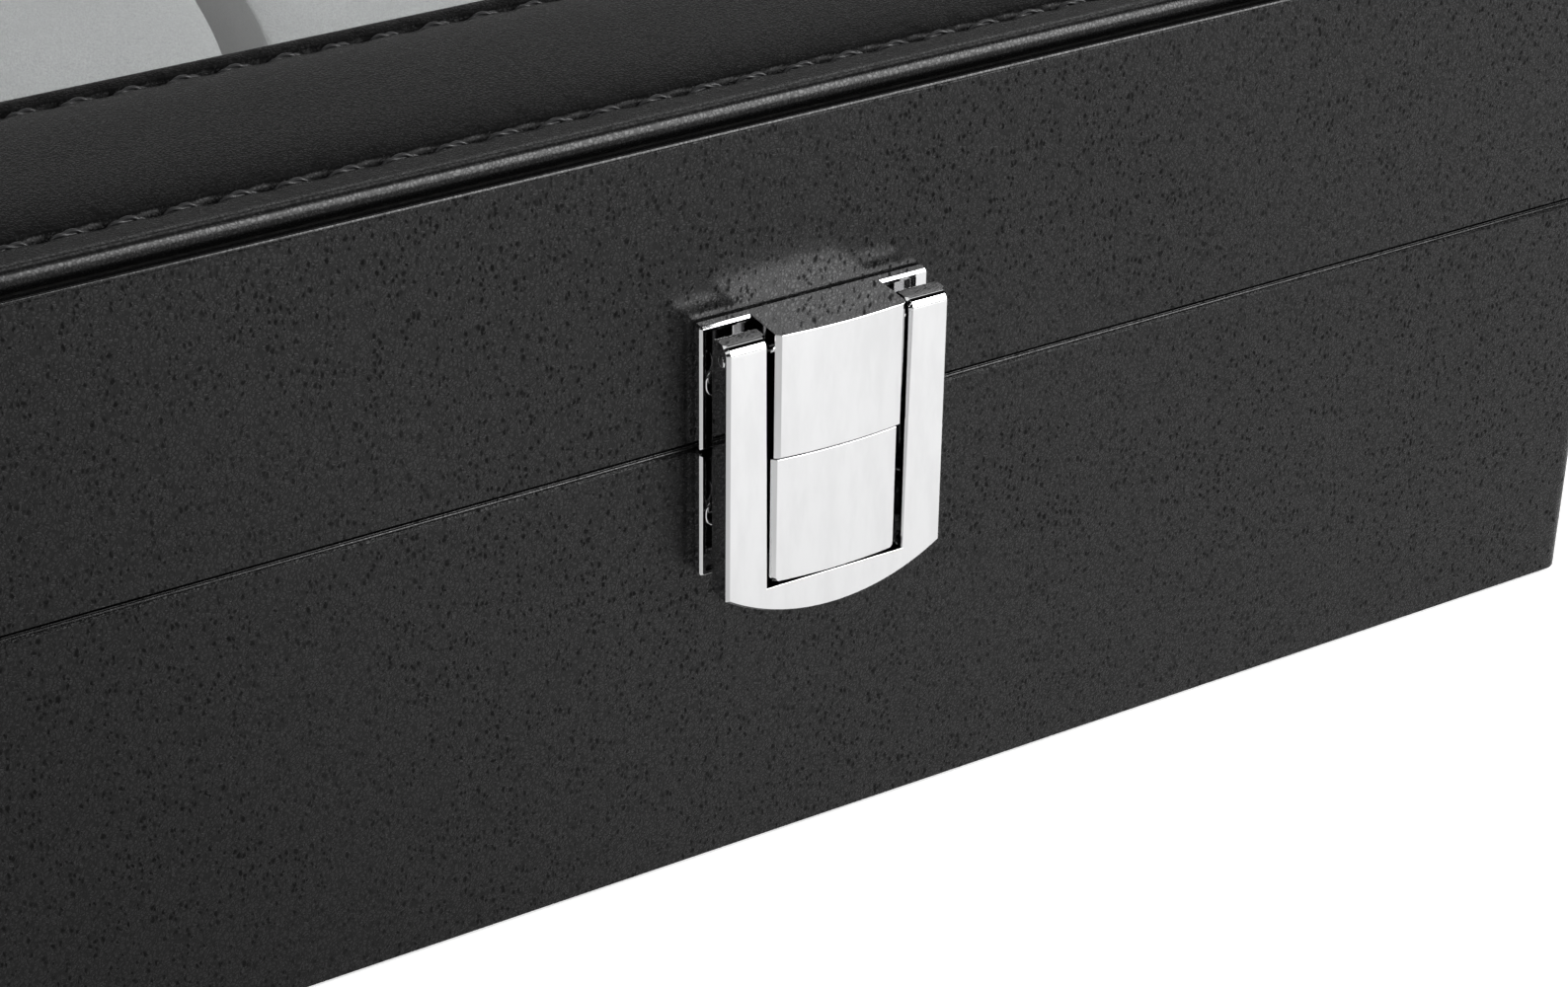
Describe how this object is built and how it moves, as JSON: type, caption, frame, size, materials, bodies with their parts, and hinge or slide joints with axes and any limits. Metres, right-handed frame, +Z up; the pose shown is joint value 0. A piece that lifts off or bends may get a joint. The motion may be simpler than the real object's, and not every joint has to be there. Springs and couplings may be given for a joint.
{
  "type": "watch box with drawer",
  "caption": "Leather-covered watch box with a glass-topped hinged lid, chromed lever clasp, cushioned watch tray and a shallow drawer in its side.",
  "frame": {"origin": "middle of the felt face that the box stands on", "axes": "+Z up; -Y is the front with the clasp; +X is along the front, and the drawer opens that way"},
  "size_m": [0.2682, 0.2124, 0.104],
  "materials": {
    "black_leather": "black pebbled bonded leather, semi-matt, fine irregular grain",
    "lining_velvet": "short light grey velvet over card and board",
    "pillow_velvet": "light grey velvet over wadding",
    "black_felt": "thin black felt",
    "fibreboard": "raw medium-density fibreboard, painted black where the drawer shows it",
    "clear_glass": "clear float glass, polished",
    "chrome_plate": "mirror chrome plate on die-cast zinc",
    "plated_steel": "bright nickel-plated steel",
    "runner_plastic": "low-friction plastic strip"
  },
  "bodies": {
    "base": {"base_back_board": "fibreboard", "base_bottom_board": "fibreboard", "base_front_board": "fibreboard", "base_leather_wrap": "black_leather", "base_left_board": "fibreboard", "base_right_rail": "fibreboard", "base_right_sill": "fibreboard", "bottom_felt": "black_felt", "clasp_lower_plate": "chrome_plate", "clasp_lower_screws": "chrome_plate", "drawer_runners": "runner_plastic", "drawer_stop": "fibreboard", "hinge_base_leaf_left": "plated_steel", "hinge_base_leaf_right": "plated_steel", "hinge_base_screws": "plated_steel", "hinge_pins": "plated_steel", "tray_cross_dividers": "lining_velvet", "tray_floor_lining": "lining_velvet", "tray_long_divider": "lining_velvet", "tray_wall_liners": "lining_velvet", "watch_deck": "fibreboard", "watch_pillow_01": "pillow_velvet", "watch_pillow_02": "pillow_velvet", "watch_pillow_03": "pillow_velvet", "watch_pillow_04": "pillow_velvet", "watch_pillow_05": "pillow_velvet", "watch_pillow_06": "pillow_velvet", "watch_pillow_07": "pillow_velvet", "watch_pillow_08": "pillow_velvet", "watch_pillow_09": "pillow_velvet", "watch_pillow_10": "pillow_velvet"},
    "lid": {"clasp_pivot_pin": "chrome_plate", "clasp_upper_plate": "chrome_plate", "clasp_upper_screws": "chrome_plate", "hinge_lid_leaf_left": "plated_steel", "hinge_lid_leaf_right": "plated_steel", "hinge_lid_screws": "plated_steel", "lid_back_board": "fibreboard", "lid_backing_frame": "lining_velvet", "lid_front_board": "fibreboard", "lid_glass": "clear_glass", "lid_leather_wrap": "black_leather", "lid_left_board": "fibreboard", "lid_right_board": "fibreboard", "lid_top_pad": "black_leather", "lid_top_panel": "fibreboard", "lid_wall_lining": "lining_velvet"},
    "clasp_lever_body": {"clasp_lever": "chrome_plate"},
    "drawer": {"drawer_back": "fibreboard", "drawer_bottom": "fibreboard", "drawer_cross_dividers": "lining_velvet", "drawer_floor_lining": "lining_velvet", "drawer_front": "fibreboard", "drawer_front_leather": "black_leather", "drawer_knob": "chrome_plate", "drawer_knob_screw": "plated_steel", "drawer_long_divider": "lining_velvet", "drawer_side_back": "fibreboard", "drawer_side_front": "fibreboard"}
  },
  "joints": [
    {"name": "lid_hinge", "type": "hinge", "parent": "base", "child": "lid", "pos_m": [0, 0.1022, 0.0608], "axis": [-1, 0, 0], "range_deg": [0, 100]},
    {"name": "lever_pivot", "type": "hinge", "parent": "lid", "child": "clasp_lever_body", "pos_m": [0, -0.1059, 0.075], "axis": [-1, 0, 0], "range_deg": [0, 110]},
    {"name": "drawer_slide", "type": "slide", "parent": "base", "child": "drawer", "axis": [1, 0, 0], "range_m": [0, 0.145]}
  ]
}
